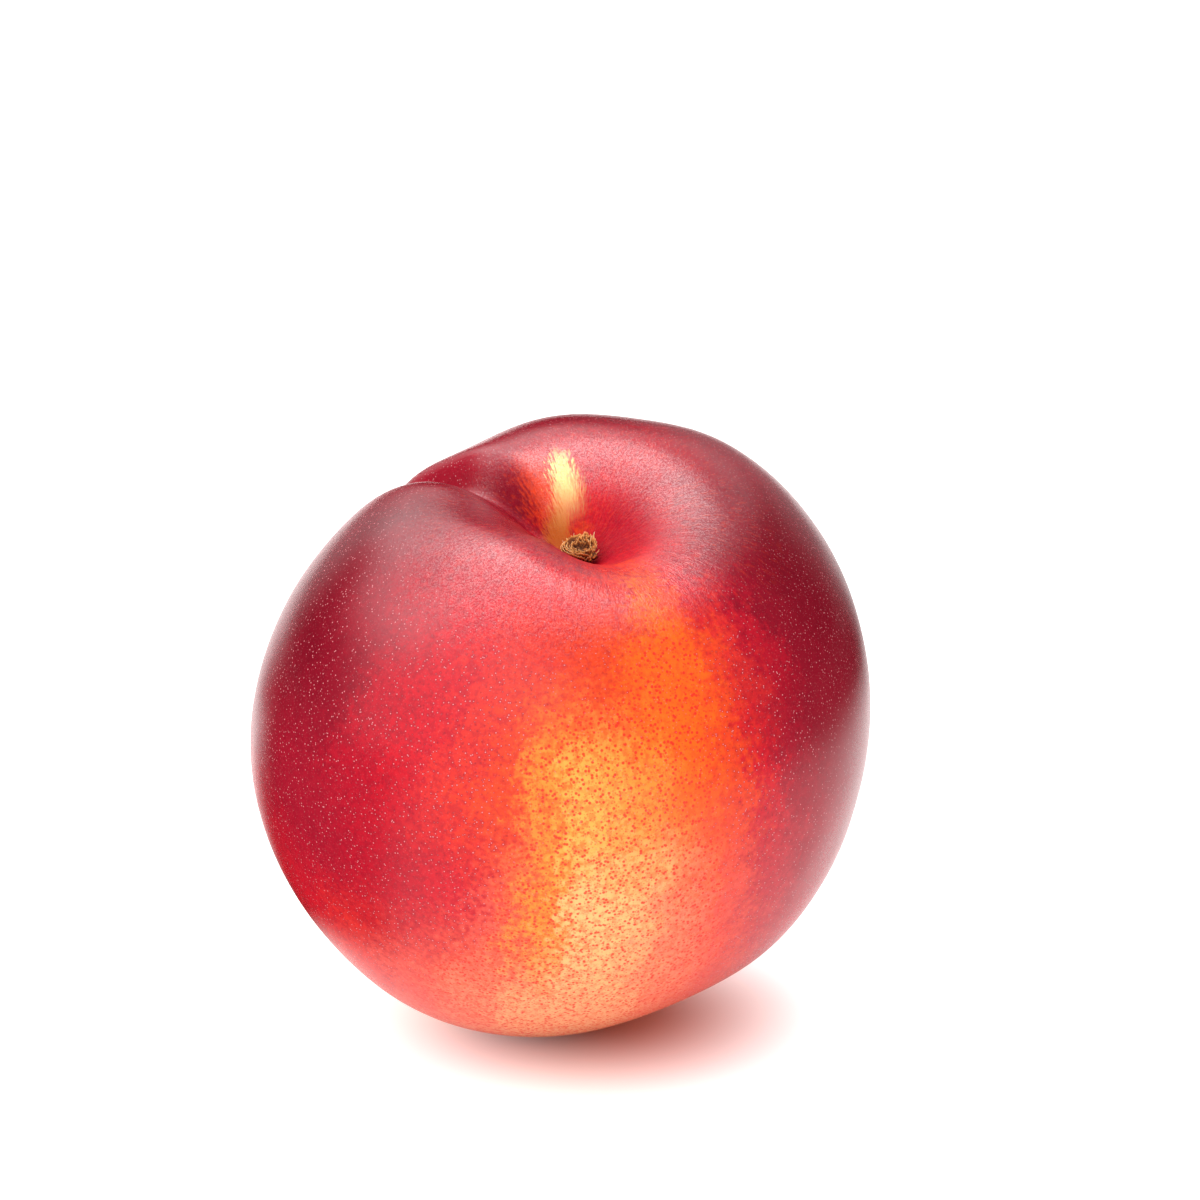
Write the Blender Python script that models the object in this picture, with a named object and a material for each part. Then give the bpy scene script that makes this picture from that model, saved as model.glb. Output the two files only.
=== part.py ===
"""A nectarine that rests on a small flat spot, with the torn dry end of its stalk in the stem cavity.

Units are metres, +Z is up, and the fruit stands on z = 0 with its sides centred on the origin.
The fruit is modelled about its own stem axis (local +Z, with the suture running down the local
+X side), then leaned over into the place where it rests.
"""
import math

import bmesh
import bpy
import numpy as np
from mathutils import Matrix, Vector

# How the fruit lies
CENTRE = Vector((-0.0008, 0.0001, 0.0357))   # where the stem axis and the widest section cross
STEM_LEAN = math.radians(27.2)                 # stem axis from straight up
STEM_HEADING = math.radians(-73.0)             # side that the stem leans to, round from +X
SUTURE_TURN = math.radians(-147.1)             # turn of the suture round the stem axis

# Body
HALF_HEIGHT = 0.0340        # centre to crown, before the stem cavity is sunk
HALF_WIDTH = 0.0355         # centre to the fullest part of the cheeks
SQUARENESS = 2.2            # 2 is an ellipse, more is squarer in the shoulder
TIP_HEIGHT = 0.0007         # the small point at the blossom end
TIP_SPREAD = math.radians(8)

# Stem cavity: how deep it is, and how far it opens to each side of the stem
CAVITY_DEPTH = 0.0090
CAVITY_TO_SUTURE = 0.0160
CAVITY_FROM_SUTURE = 0.0103
CAVITY_TO_NEAR_CHEEK = 0.0074
CAVITY_TO_FAR_CHEEK = 0.0128
PIT_DEPTH = 0.0016          # the narrow pit in the bottom, where the stalk grew
PIT_WIDTH = 0.0064

# Suture: the groove between the cheeks, steeper on the near cheek, shallower below the shoulder
SUTURE_DEPTH = 0.0038
SUTURE_NEAR_WIDTH = 0.0033
SUTURE_FAR_WIDTH = 0.0027
SUTURE_LOW_SHARE = 0.35     # share of the depth that is left from the equator down

# Soft rises and hollows of the skin: degrees down from the stem, degrees round from the suture,
# height in metres (negative is a hollow), and spread in degrees
SWELLS = (
    (47, -82, 0.0011, 32),      # far shoulder
    (66, 10, -0.0042, 44),      # sunken suture side
    (50, -18, -0.0012, 14),     # far lip of the suture
    (44, -61, -0.0008, 13),     # flat on the far rim
    (118, 66, -0.0007, 28),     # near flank
    (135, 108, 0.0006, 19),     # near side of the base
    (128, 167, -0.0012, 17),    # flat beside the base
    (152, 151, 0.0012, 15),     # seat
)

# Mesh of the fruit
ROWS = 36
COLUMNS = 64
ROW_CROWDING = 1.2          # above 1 the rows crowd together in the stem cavity

# Stalk remnant, in its own frame: (radius, height) down the outside and back up inside the tear
STUB_LIFT = 0.0008          # base above the bottom of the pit
STUB_LEAN = math.radians(14)
STUB_LEAN_TO = math.radians(-5)
STUB_SIDES = 14
STUB_OUTSIDE = ((0.0008, 0.0), (0.0011, 0.0005), (0.0016, 0.0011), (0.0019, 0.0017))
STUB_RIM = (0.0020, 0.0023)
STUB_INSIDE = ((0.0012, 0.0016), (0.0006, 0.0013))
STUB_RAGGED = 0.0005        # how far the torn rim rises and falls


def smooth_step(low, high, value):
    """0 below low, 1 above high, and a soft ramp between them."""
    ramp = np.clip((value - low) / (high - low), 0.0, 1.0)
    return ramp * ramp * (3.0 - 2.0 * ramp)


def direction(down, round_from_suture):
    """Unit vector at two angles in degrees: down from the stem, and round from the suture."""
    down = math.radians(down)
    turn = math.radians(round_from_suture)
    return np.array((math.sin(down) * math.cos(turn), math.sin(down) * math.sin(turn), math.cos(down)))


def swell(rays, centre, height, spread):
    """A soft rise of the skin about one direction."""
    angle_squared = 2.0 * (1.0 - rays @ centre)
    return height * np.exp(-angle_squared / spread ** 2)


def cavity_reach(x, y):
    """How far the stem cavity opens in the direction of x, y."""
    away = np.hypot(x, y) + 1e-9
    along = np.where(x > 0, CAVITY_TO_SUTURE, CAVITY_FROM_SUTURE)
    across = np.where(y > 0, CAVITY_TO_NEAR_CHEEK, CAVITY_TO_FAR_CHEEK)
    return along * (x / away) ** 2 + across * (y / away) ** 2 + 1e-9


def skin_radius(rays):
    """Distance from the centre of the fruit to its skin along each unit vector in rays."""
    x, y, z = rays[..., 0], rays[..., 1], rays[..., 2]
    away = np.hypot(x, y)
    upright = (np.abs(z) / HALF_HEIGHT) ** SQUARENESS
    level = (away / HALF_WIDTH) ** SQUARENESS
    radius = (upright + level) ** (-1.0 / SQUARENESS)
    for down, turn, height, spread in SWELLS:
        radius += swell(rays, direction(down, turn), height, math.radians(spread))
    radius += swell(rays, direction(180, 0), TIP_HEIGHT, TIP_SPREAD)

    width = np.where(y > 0, SUTURE_NEAR_WIDTH, SUTURE_FAR_WIDTH)
    groove = np.exp(-(HALF_WIDTH * y / width) ** 2)
    on_suture_side = smooth_step(-0.06, 0.34, x)
    share = SUTURE_LOW_SHARE + (1.0 - SUTURE_LOW_SHARE) * smooth_step(-0.15, 0.60, z)
    radius -= SUTURE_DEPTH * share * on_suture_side * groove

    bowl = CAVITY_DEPTH * np.exp(-(HALF_WIDTH * away / cavity_reach(x, y)) ** 2)
    pit = PIT_DEPTH * np.exp(-(HALF_WIDTH * away / PIT_WIDTH) ** 2)
    return radius - (bowl + pit) * smooth_step(0.0, 0.5, z)


def skin_grid(rows, columns):
    """Points of the skin, row by row from the stem to the blossom end."""
    down = math.pi * (np.arange(1, rows) / rows) ** ROW_CROWDING
    turn = 2.0 * math.pi * np.arange(columns) / columns
    down, turn = np.meshgrid(down, turn, indexing="ij")
    rays = np.stack((np.sin(down) * np.cos(turn), np.sin(down) * np.sin(turn), np.cos(down)), axis=-1)
    return rays * skin_radius(rays)[..., None]


def ring_mesh(rings, first_point, last_point):
    """A closed mesh through rings of equal size, with one point before and one after them."""
    mesh = bmesh.new()
    verts = [[mesh.verts.new(point) for point in ring] for ring in rings]
    first = mesh.verts.new(first_point)
    last = mesh.verts.new(last_point)
    sides = len(verts[0])
    for side in range(sides):
        after = (side + 1) % sides
        mesh.faces.new((first, verts[0][side], verts[0][after]))
        for upper, lower in zip(verts, verts[1:]):
            mesh.faces.new((upper[side], lower[side], lower[after], upper[after]))
        mesh.faces.new((last, verts[-1][after], verts[-1][side]))
    bmesh.ops.recalc_face_normals(mesh, faces=mesh.faces)
    return mesh


def finish_object(name, mesh, material):
    """Turn a bmesh into a smooth-shaded object with its material, in the scene."""
    data = bpy.data.meshes.new(name)
    mesh.to_mesh(data)
    mesh.free()
    data.shade_smooth()
    data.set_sharp_from_angle(angle=math.radians(50))
    data.materials.append(material)
    part = bpy.data.objects.new(name, data)
    bpy.context.scene.collection.objects.link(part)
    return part


def plain_material(name, color, roughness):
    """A Principled material with one colour."""
    material = bpy.data.materials.new(name)
    material.use_nodes = True
    shader = material.node_tree.nodes["Principled BSDF"]
    shader.inputs["Base Color"].default_value = (*color, 1.0)
    shader.inputs["Roughness"].default_value = roughness
    shader.inputs["Metallic"].default_value = 0.0
    return material


def resting_pose():
    """The turn that leans the upright fruit into the place where it rests."""
    heading = Matrix.Rotation(STEM_HEADING, 4, "Z")
    lean = Matrix.Rotation(STEM_LEAN, 4, "Y")
    return heading @ lean @ Matrix.Rotation(SUTURE_TURN, 4, "Z")


def cut_flat_spot(mesh, pose):
    """Cut away what would be below the table, and close the cut with one flat face."""
    to_local = (Matrix.Translation(CENTRE) @ pose).inverted()
    table_point = to_local @ Vector((0.0, 0.0, 0.0))
    table_up = to_local.to_3x3() @ Vector((0.0, 0.0, 1.0))
    everything = list(mesh.verts) + list(mesh.edges) + list(mesh.faces)
    cut = bmesh.ops.bisect_plane(
        mesh, geom=everything, plane_co=table_point, plane_no=table_up, clear_inner=True
    )
    rim = [piece for piece in cut["geom_cut"] if isinstance(piece, bmesh.types.BMEdge)]
    bmesh.ops.holes_fill(mesh, edges=rim)
    bmesh.ops.recalc_face_normals(mesh, faces=mesh.faces)


def build_fruit():
    """The whole fruit as one solid, lying where it rests."""
    pose = resting_pose()
    stem_end, blossom_end = direction(0, 0), direction(180, 0)
    rings = [[Vector(point) for point in ring] for ring in skin_grid(ROWS, COLUMNS)]
    crown = stem_end * skin_radius(stem_end)
    tip = blossom_end * skin_radius(blossom_end)
    mesh = ring_mesh(rings, crown, tip)
    cut_flat_spot(mesh, pose)
    fruit = finish_object("fruit", mesh, plain_material("nectarine_skin", (0.62, 0.05, 0.06), 0.32))
    fruit.location = CENTRE
    fruit.rotation_euler = pose.to_euler()
    return fruit


def stub_ring(radius, height, ragged):
    """One ring of the stalk remnant, with its torn edge up and down by ragged."""
    ring = []
    for side in range(STUB_SIDES):
        turn = 2.0 * math.pi * side / STUB_SIDES
        tear = math.sin(3.0 * turn) + 0.6 * math.sin(5.0 * turn + 1.0)
        swing = radius * (1.0 + 0.08 * math.sin(2.0 * turn + 0.5))
        ring.append(Vector((swing * math.cos(turn), swing * math.sin(turn), height + ragged * tear)))
    return ring


def build_stalk_stub(fruit):
    """The dry stalk remnant: a torn cup, narrow at its base, standing clear of the cavity."""
    rings = [stub_ring(radius, height, 0.0) for radius, height in STUB_OUTSIDE]
    rings.append(stub_ring(*STUB_RIM, STUB_RAGGED))
    rings += [stub_ring(radius, height, 0.3 * STUB_RAGGED) for radius, height in STUB_INSIDE]
    base = Vector((0.0, 0.0, 0.0))
    hollow = Vector((0.0, 0.0, STUB_INSIDE[-1][1]))
    mesh = ring_mesh(rings, base, hollow)
    stub = finish_object("stalk_stub", mesh, plain_material("dry_stalk", (0.42, 0.22, 0.08), 0.85))
    stub.parent = fruit
    stub.location = (0.0, 0.0, float(skin_radius(direction(0, 0))) + STUB_LIFT)
    lean = Matrix.Rotation(STUB_LEAN_TO, 4, "Z") @ Matrix.Rotation(STUB_LEAN, 4, "Y")
    stub.rotation_euler = lean.to_euler()
    return stub


def main():
    for old in list(bpy.data.objects):
        bpy.data.objects.remove(old)
    fruit = build_fruit()
    build_stalk_stub(fruit)


main()
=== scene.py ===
"""Looks of the nectarine: its skin, the dry torn stalk, and a small white studio round them.

Units are metres and +Z is up. The fruit is shaped about its own stem axis (local +Z, with the
suture running down the local +X side), as in the CAD model, and then leaned over to where it rests.
"""
import math

import bpy
import numpy as np
from mathutils import Matrix, Vector, noise


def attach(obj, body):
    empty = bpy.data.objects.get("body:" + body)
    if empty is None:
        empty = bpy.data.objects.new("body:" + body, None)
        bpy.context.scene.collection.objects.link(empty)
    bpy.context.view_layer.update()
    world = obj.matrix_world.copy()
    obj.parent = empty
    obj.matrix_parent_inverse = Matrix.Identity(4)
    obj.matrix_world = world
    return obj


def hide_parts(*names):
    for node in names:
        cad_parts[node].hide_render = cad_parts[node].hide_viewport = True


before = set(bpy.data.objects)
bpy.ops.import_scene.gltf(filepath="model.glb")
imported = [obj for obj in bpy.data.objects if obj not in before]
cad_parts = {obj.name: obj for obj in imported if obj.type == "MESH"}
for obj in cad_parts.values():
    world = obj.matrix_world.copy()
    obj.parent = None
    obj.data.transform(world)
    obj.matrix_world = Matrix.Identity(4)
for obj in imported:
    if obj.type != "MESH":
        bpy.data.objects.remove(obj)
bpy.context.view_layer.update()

MILLIMETRE = 0.001

# How the fruit lies, as in the CAD model
CENTRE = Vector((-0.0008, 0.0001, 0.0357))
STEM_LEAN = math.radians(27.2)
STEM_HEADING = math.radians(-73.0)
SUTURE_TURN = math.radians(-147.1)

# Body, as in the CAD model
HALF_HEIGHT = 0.0340
HALF_WIDTH = 0.0355
SQUARENESS = 2.2
TIP_HEIGHT = 0.0007
TIP_SPREAD = math.radians(8)

# Stem cavity, as in the CAD model
CAVITY_DEPTH = 0.0090
CAVITY_TO_SUTURE = 0.0160
CAVITY_FROM_SUTURE = 0.0103
CAVITY_TO_NEAR_CHEEK = 0.0074
CAVITY_TO_FAR_CHEEK = 0.0128
PIT_DEPTH = 0.0016
PIT_WIDTH = 0.0064

# Suture, as in the CAD model
SUTURE_DEPTH = 0.0038
SUTURE_NEAR_WIDTH = 0.0033
SUTURE_FAR_WIDTH = 0.0027
SUTURE_LOW_SHARE = 0.35

# Soft rises and hollows, as in the CAD model: degrees down from the stem, degrees round from the
# suture, height in metres, and spread in degrees
SWELLS = (
    (47, -82, 0.0011, 32),
    (66, 10, -0.0042, 44),
    (50, -18, -0.0012, 14),
    (44, -61, -0.0008, 13),
    (118, 66, -0.0007, 28),
    (135, 108, 0.0006, 19),
    (128, 167, -0.0012, 17),
    (152, 151, 0.0012, 15),
)

# Fine shape of the skin, on top of the CAD shape
ROWS = 200
COLUMNS = 400
ROW_CROWDING = 1.15
WAVES = ((0.0090, 0.00007), (0.0040, 0.000015))   # (size, height) of the soft waves of the skin
FOLDS = 46                                         # fine folds that run down into the stem cavity
FOLD_HEIGHT = 0.000010
FOLDS_BEGIN = (4.0, 10.0)                          # degrees down from the stem
FOLDS_END = (16.0, 34.0)
SETTLE = 0.0002                                    # rounding where the skin meets the table


def smooth_step(low, high, value):
    """0 below low, 1 above high, and a soft ramp between them."""
    ramp = np.clip((value - low) / (high - low), 0.0, 1.0)
    return ramp * ramp * (3.0 - 2.0 * ramp)


def direction(down, round_from_suture):
    """Unit vector at two angles in degrees: down from the stem, and round from the suture."""
    down = math.radians(down)
    turn = math.radians(round_from_suture)
    return np.array((math.sin(down) * math.cos(turn), math.sin(down) * math.sin(turn), math.cos(down)))


def swell(rays, centre, height, spread):
    """A soft rise of the skin about one direction."""
    angle_squared = 2.0 * (1.0 - rays @ centre)
    return height * np.exp(-angle_squared / spread ** 2)


def cavity_reach(x, y):
    """How far the stem cavity opens in the direction of x, y."""
    away = np.hypot(x, y) + 1e-9
    along = np.where(x > 0, CAVITY_TO_SUTURE, CAVITY_FROM_SUTURE)
    across = np.where(y > 0, CAVITY_TO_NEAR_CHEEK, CAVITY_TO_FAR_CHEEK)
    return along * (x / away) ** 2 + across * (y / away) ** 2 + 1e-9


def skin_radius(rays):
    """Distance from the centre of the fruit to its skin along each unit vector in rays."""
    x, y, z = rays[..., 0], rays[..., 1], rays[..., 2]
    away = np.hypot(x, y)
    upright = (np.abs(z) / HALF_HEIGHT) ** SQUARENESS
    level = (away / HALF_WIDTH) ** SQUARENESS
    radius = (upright + level) ** (-1.0 / SQUARENESS)
    for down, turn, height, spread in SWELLS:
        radius += swell(rays, direction(down, turn), height, math.radians(spread))
    radius += swell(rays, direction(180, 0), TIP_HEIGHT, TIP_SPREAD)

    width = np.where(y > 0, SUTURE_NEAR_WIDTH, SUTURE_FAR_WIDTH)
    groove = np.exp(-(HALF_WIDTH * y / width) ** 2)
    on_suture_side = smooth_step(-0.06, 0.34, x)
    share = SUTURE_LOW_SHARE + (1.0 - SUTURE_LOW_SHARE) * smooth_step(-0.15, 0.60, z)
    radius -= SUTURE_DEPTH * share * on_suture_side * groove

    bowl = CAVITY_DEPTH * np.exp(-(HALF_WIDTH * away / cavity_reach(x, y)) ** 2)
    pit = PIT_DEPTH * np.exp(-(HALF_WIDTH * away / PIT_WIDTH) ** 2)
    return radius - (bowl + pit) * smooth_step(0.0, 0.5, z)


def soft_waves(points):
    """The skin's slight unevenness at each point."""
    lift = np.zeros(len(points))
    for size, height in WAVES:
        lift += height * np.array([noise.noise(Vector(point) / size) for point in points])
    return lift


def cavity_folds(rays):
    """Fine folds that run down the walls of the stem cavity and fade out on the shoulder."""
    turn = np.arctan2(rays[:, 1], rays[:, 0])
    down = np.degrees(np.arccos(np.clip(rays[:, 2], -1.0, 1.0)))
    wander = np.array([noise.noise(Vector(ray) * 5.0) for ray in rays])
    ripple = np.sin(FOLDS * turn + 9.0 * wander) + 0.5 * np.sin(1.7 * FOLDS * turn - 7.0 * wander)
    in_cavity = smooth_step(*FOLDS_BEGIN, down) * (1.0 - smooth_step(*FOLDS_END, down))
    return FOLD_HEIGHT * ripple * in_cavity


def resting_pose():
    """The turn and place that put the upright fruit where it rests."""
    heading = Matrix.Rotation(STEM_HEADING, 4, "Z")
    lean = Matrix.Rotation(STEM_LEAN, 4, "Y")
    return Matrix.Translation(CENTRE) @ heading @ lean @ Matrix.Rotation(SUTURE_TURN, 4, "Z")


def settled_on_table(points):
    """Lean the fruit over to where it rests, and flatten its underside softly on the table."""
    pose = resting_pose()
    placed = points @ np.array(pose.to_3x3()).T + np.array(pose.translation)
    height = placed[:, 2]
    settled = 0.5 * (height + np.sqrt(height ** 2 + SETTLE ** 2))
    placed[:, 2] = settled - settled.min()
    return placed


def skin_faces(rows, columns):
    """Faces of a closed skin, with the place of each corner round and down the fruit."""
    faces, corners = [], []
    crown, tip = 0, 1 + (rows - 1) * columns
    for side in range(columns):
        after = (side + 1) % columns
        left, right = side / columns, (side + 1) / columns
        middle = 0.5 * (left + right)
        faces.append((crown, 1 + side, 1 + after))
        corners += [(middle, 0.0), (left, 1.0 / rows), (right, 1.0 / rows)]
        for row in range(rows - 2):
            upper, lower = 1 + row * columns, 1 + (row + 1) * columns
            top, bottom = (row + 1) / rows, (row + 2) / rows
            faces.append((upper + side, lower + side, lower + after, upper + after))
            corners += [(left, top), (left, bottom), (right, bottom), (right, top)]
        last = 1 + (rows - 2) * columns
        faces.append((tip, last + after, last + side))
        corners += [(middle, 1.0), (right, 1.0 - 1.0 / rows), (left, 1.0 - 1.0 / rows)]
    return faces, corners


def build_skin():
    """The whole skin of the fruit as one fine closed mesh."""
    down = math.pi * (np.arange(1, ROWS) / ROWS) ** ROW_CROWDING
    turn = 2.0 * math.pi * np.arange(COLUMNS) / COLUMNS
    down, turn = (grid.ravel() for grid in np.meshgrid(down, turn, indexing="ij"))
    sides = np.stack((np.sin(down) * np.cos(turn), np.sin(down) * np.sin(turn), np.cos(down)), axis=-1)
    rays = np.vstack((direction(0, 0), sides, direction(180, 0)))
    points = rays * skin_radius(rays)[:, None]
    points += rays * (soft_waves(points) + cavity_folds(rays))[:, None]

    faces, corners = skin_faces(ROWS, COLUMNS)
    data = bpy.data.meshes.new("nectarine_skin")
    data.from_pydata(settled_on_table(points).tolist(), [], faces)
    away_from_centre = data.attributes.new("stem_frame", "FLOAT_VECTOR", "POINT")
    away_from_centre.data.foreach_set("vector", rays.ravel())
    unwrapped = data.uv_layers.new(name="OFBake")
    flat_corners = np.array([(side, 1.0 - drop) for side, drop in corners])
    unwrapped.data.foreach_set("uv", flat_corners.ravel())
    data.shade_smooth()
    skin = bpy.data.objects.new("nectarine_skin", data)
    bpy.context.scene.collection.objects.link(skin)
    return skin


# Stalk remnant, about its own axis. Its place and lean are as in the CAD model
STUB_LIFT = 0.0008
STUB_LEAN = math.radians(14)
STUB_LEAN_TO = math.radians(-5)
CUP_SIDES = 140
CUP_OUTSIDE = ((0.0007, -0.0010), (0.0008, -0.0005), (0.0009, 0.0), (0.0011, 0.0004), (0.0014, 0.0009),
               (0.0016, 0.0013), (0.00170, 0.0017))
CUP_RIM = (0.00172, 0.0020)
CUP_INSIDE = ((0.00155, 0.0018), (0.00125, 0.00155), (0.0009, 0.00135), (0.0006, 0.00130),
              (0.0003, 0.00130))
RIM_TORN, INSIDE_TORN = 1.0, 0.5    # how torn the cup is at its rim and inside, where 0 is smooth
CUP_TEAR = 0.00022                  # how far the torn rim rises and falls
CUP_FIBRE_LIFT = 0.00010            # how much the fibres add to that
CUP_FIBRE_SWELL = 0.045             # how far the fibres stand out, as a share of the radius
CLOD_LIFT = 0.00022                 # lumpiness of the inside of the cup
# Torn layers round the cup: middle and half of the arc in degrees, radius at the foot and at the top,
# height of the foot and of the top, how ragged the top is
LAYERS = (
    (62, 78, 0.00135, 0.00212, 0.0003, 0.00160, 0.00012),
    (70, 84, 0.00125, 0.00197, 0.0005, 0.00178, 0.00012),
    (84, 88, 0.00115, 0.00181, 0.0007, 0.00192, 0.00014),
    (66, 60, 0.00100, 0.00150, 0.0008, 0.00186, 0.00016),
    (292, 66, 0.00130, 0.00186, 0.0006, 0.00196, 0.00026),
    (272, 52, 0.00110, 0.00158, 0.0008, 0.00204, 0.00030),
    (212, 40, 0.00120, 0.00176, 0.0005, 0.00170, 0.00022),
    (190, 44, 0.00130, 0.00196, 0.0003, 0.00128, 0.00018),
    (95, 70, 0.00080, 0.00120, 0.0010, 0.00180, 0.00020),
    (110, 56, 0.00050, 0.00090, 0.0010, 0.00172, 0.00022),
    (285, 70, 0.00070, 0.00118, 0.0010, 0.00196, 0.00030),
    (320, 60, 0.00040, 0.00078, 0.0011, 0.00184, 0.00028),
    (180, 50, 0.00080, 0.00130, 0.0009, 0.00166, 0.00022),
    (40, 50, 0.00060, 0.00096, 0.0010, 0.00178, 0.00020),
)
LAYER_STEPS = 56
LAYER_RISES = (0.0, 0.2, 0.4, 0.6, 0.8, 0.93, 1.0)
LAYER_THICKNESS = 0.00009
# Loose fibres: the way they stand, in degrees; distance out and height of foot and tip; half width
FIBRES = (
    (250, 0.00150, 0.0013, 0.00176, 0.00302, 0.00030),
    (258, 0.00130, 0.0013, 0.00150, 0.00250, 0.00016),
    (300, 0.00160, 0.0014, 0.00185, 0.00252, 0.00012),
    (335, 0.00165, 0.0012, 0.00200, 0.00226, 0.00010),
    (20, 0.00170, 0.0010, 0.00218, 0.00196, 0.00010),
    (228, 0.00150, 0.0010, 0.00190, 0.00218, 0.00012),
    (150, 0.00150, 0.0009, 0.00190, 0.00180, 0.00010),
)
# Lumps of dried flesh on the low side: degrees round, distance out, height, and size
LUMPS = (
    (186, 0.00172, 0.00105, 0.00046),
    (170, 0.00150, 0.00070, 0.00040),
    (204, 0.00160, 0.00070, 0.00036),
)


def rough(point, size):
    """Unevenness between about -1 and 1."""
    return 1.6 * noise.noise(Vector(point) / size)


def round_axis(turn, radius, height):
    """A point at an angle round the stalk, a distance out from its axis, and a height."""
    return (radius * math.cos(turn), radius * math.sin(turn), height)


def closed_rings(rings, first, last):
    """Points and faces of a closed skin through rings of equal size, from one point to another."""
    sides = len(rings[0])
    points = [first] + [point for ring in rings for point in ring] + [last]
    end = len(points) - 1
    faces = []
    for side in range(sides):
        after = (side + 1) % sides
        faces.append((0, 1 + after, 1 + side))
        for ring in range(len(rings) - 1):
            near, far = 1 + ring * sides, 1 + (ring + 1) * sides
            faces.append((near + side, near + after, far + after, far + side))
        near = 1 + (len(rings) - 1) * sides
        faces.append((near + side, near + after, end))
    return points, faces


def torn_cup():
    """The cup that the stalk left when it tore away, with a ragged rim and fibrous walls."""
    profile = [(radius, height, 0.0) for radius, height in CUP_OUTSIDE]
    profile.append((*CUP_RIM, RIM_TORN))
    profile += [(radius, height, INSIDE_TORN) for radius, height in CUP_INSIDE]
    rings, edge = [], [0.1]
    for step, (radius, height, torn) in enumerate(profile):
        inside = torn == INSIDE_TORN
        ring = []
        for side in range(CUP_SIDES):
            turn = 2.0 * math.pi * side / CUP_SIDES
            fibre = rough((7.0 * math.cos(turn), 7.0 * math.sin(turn), 0.25 * step), 0.35)
            tear = rough((math.cos(turn), math.sin(turn), 3.0), 0.35)
            clod_at = [1.6 * radius * part / MILLIMETRE for part in (math.cos(turn), math.sin(turn))]
            clod = rough((*clod_at, 7.0), 0.5)
            lift = torn * (CUP_TEAR * tear + CUP_FIBRE_LIFT * fibre)
            if inside:
                lift += CLOD_LIFT * clod
            ring.append(round_axis(turn, radius * (1.0 + CUP_FIBRE_SWELL * fibre), height + lift))
            # Darker inside the cup and at its foot, as painted shade, and paler at the torn rim
            edge.append(0.16 + 0.34 * clod if inside else 0.22 + 0.5 * torn + 0.30 * fibre)
        rings.append(ring)
    edge.append(0.0)
    points, faces = closed_rings(rings, (0.0, 0.0, CUP_OUTSIDE[0][1]), (0.0, 0.0, CUP_INSIDE[-1][1]))
    return points, faces, edge


def torn_layer(middle, half_arc, foot_radius, top_radius, foot, top, ragged):
    """One thin curled layer of the stalk, thin and ragged at its top edge."""
    rings, edge = [], [0.3]
    for step in range(LAYER_STEPS):
        across = 2.0 * step / (LAYER_STEPS - 1) - 1.0
        turn = math.radians(middle + half_arc * across)
        tear = rough((math.cos(turn), math.sin(turn), 900.0 * top_radius), 0.22)
        fine_tear = rough((math.cos(turn), math.sin(turn), 1700.0 * top_radius), 0.06)
        crest = top + ragged * (tear + 0.6 * fine_tear) - 0.6 * (top - foot) * abs(across) ** 5
        outer, inner = [], []
        for rise in LAYER_RISES:
            fibre = rough((9.0 * math.cos(turn), 9.0 * math.sin(turn), rise + 900.0 * top_radius), 0.4)
            bow = foot_radius + (top_radius - foot_radius) * rise ** 0.8
            radius = bow + 0.00004 * fibre + 0.00006 * across + 0.00005 * tear * rise
            height = foot + (crest - foot) * rise
            thickness = LAYER_THICKNESS * (1.0 - 0.7 * rise) * (1.05 - abs(across) ** 3)
            outer.append(round_axis(turn, radius + thickness, height))
            inner.append(round_axis(turn, radius - thickness, height))
        rings.append(outer + inner[::-1])
        # Dark at the foot and on the inner side, as painted shade, and pale at the torn top edge
        worn_and_shaded = [0.08 + 0.95 * rise ** 4 for rise in LAYER_RISES]
        edge += worn_and_shaded + [0.7 * value for value in worn_and_shaded[::-1]]
    edge.append(0.3)
    first = tuple(np.mean(rings[0], axis=0))
    last = tuple(np.mean(rings[-1], axis=0))
    points, faces = closed_rings(rings, first, last)
    return points, faces, edge


def loose_fibre(turn, foot_out, foot, tip_out, tip, half_width):
    """A thin fibre that stands up from the cup and ends in a bent point."""
    turn = math.radians(turn)
    steps, sides = 12, 8
    rings, edge = [], [0.5]
    for step in range(steps):
        rise = step / steps
        out = foot_out + (tip_out - foot_out) * rise ** 1.5
        height = foot + (tip - foot) * rise
        width = half_width * (1.0 - rise) ** 0.8
        aside = 0.00010 * math.sin(3.0 * rise)
        ring = []
        for side in range(sides):
            round_fibre = 2.0 * math.pi * side / sides
            wide, thick = width * math.cos(round_fibre), 0.4 * width * math.sin(round_fibre)
            x = (out + thick) * math.cos(turn) - (wide + aside) * math.sin(turn)
            y = (out + thick) * math.sin(turn) + (wide + aside) * math.cos(turn)
            ring.append((x, y, height))
            edge.append(0.5 + 0.6 * rise)
        rings.append(ring)
    edge.append(1.2)
    points, faces = closed_rings(rings, round_axis(turn, foot_out, foot), round_axis(turn, tip_out, tip))
    return points, faces, edge


def dried_lump(turn, out, height, size):
    """A small knobbly lump."""
    turn = math.radians(turn)
    middle = np.array(round_axis(turn, out, height))
    steps, sides = 14, 24
    rings, edge = [], [0.2]
    for step in range(1, steps):
        drop = math.pi * step / steps
        level, upright = math.sin(drop), -math.cos(drop)
        ring = []
        for side in range(sides):
            way = 2.0 * math.pi * side / sides
            ray = np.array((level * math.cos(way), level * math.sin(way), upright))
            bump = rough(middle * 1000.0 + ray * 1.2, 0.6)
            ring.append(tuple(middle + size * (1.0 + 0.28 * bump) * ray))
            # Lighter on its top, as painted light, and varied by its bumps
            edge.append(0.10 + 0.45 * bump + 0.30 * max(0.0, upright))
        rings.append(ring)
    edge.append(0.2)
    points, faces = closed_rings(rings, tuple(middle + (0, 0, -size)), tuple(middle + (0, 0, size)))
    return points, faces, edge


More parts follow.
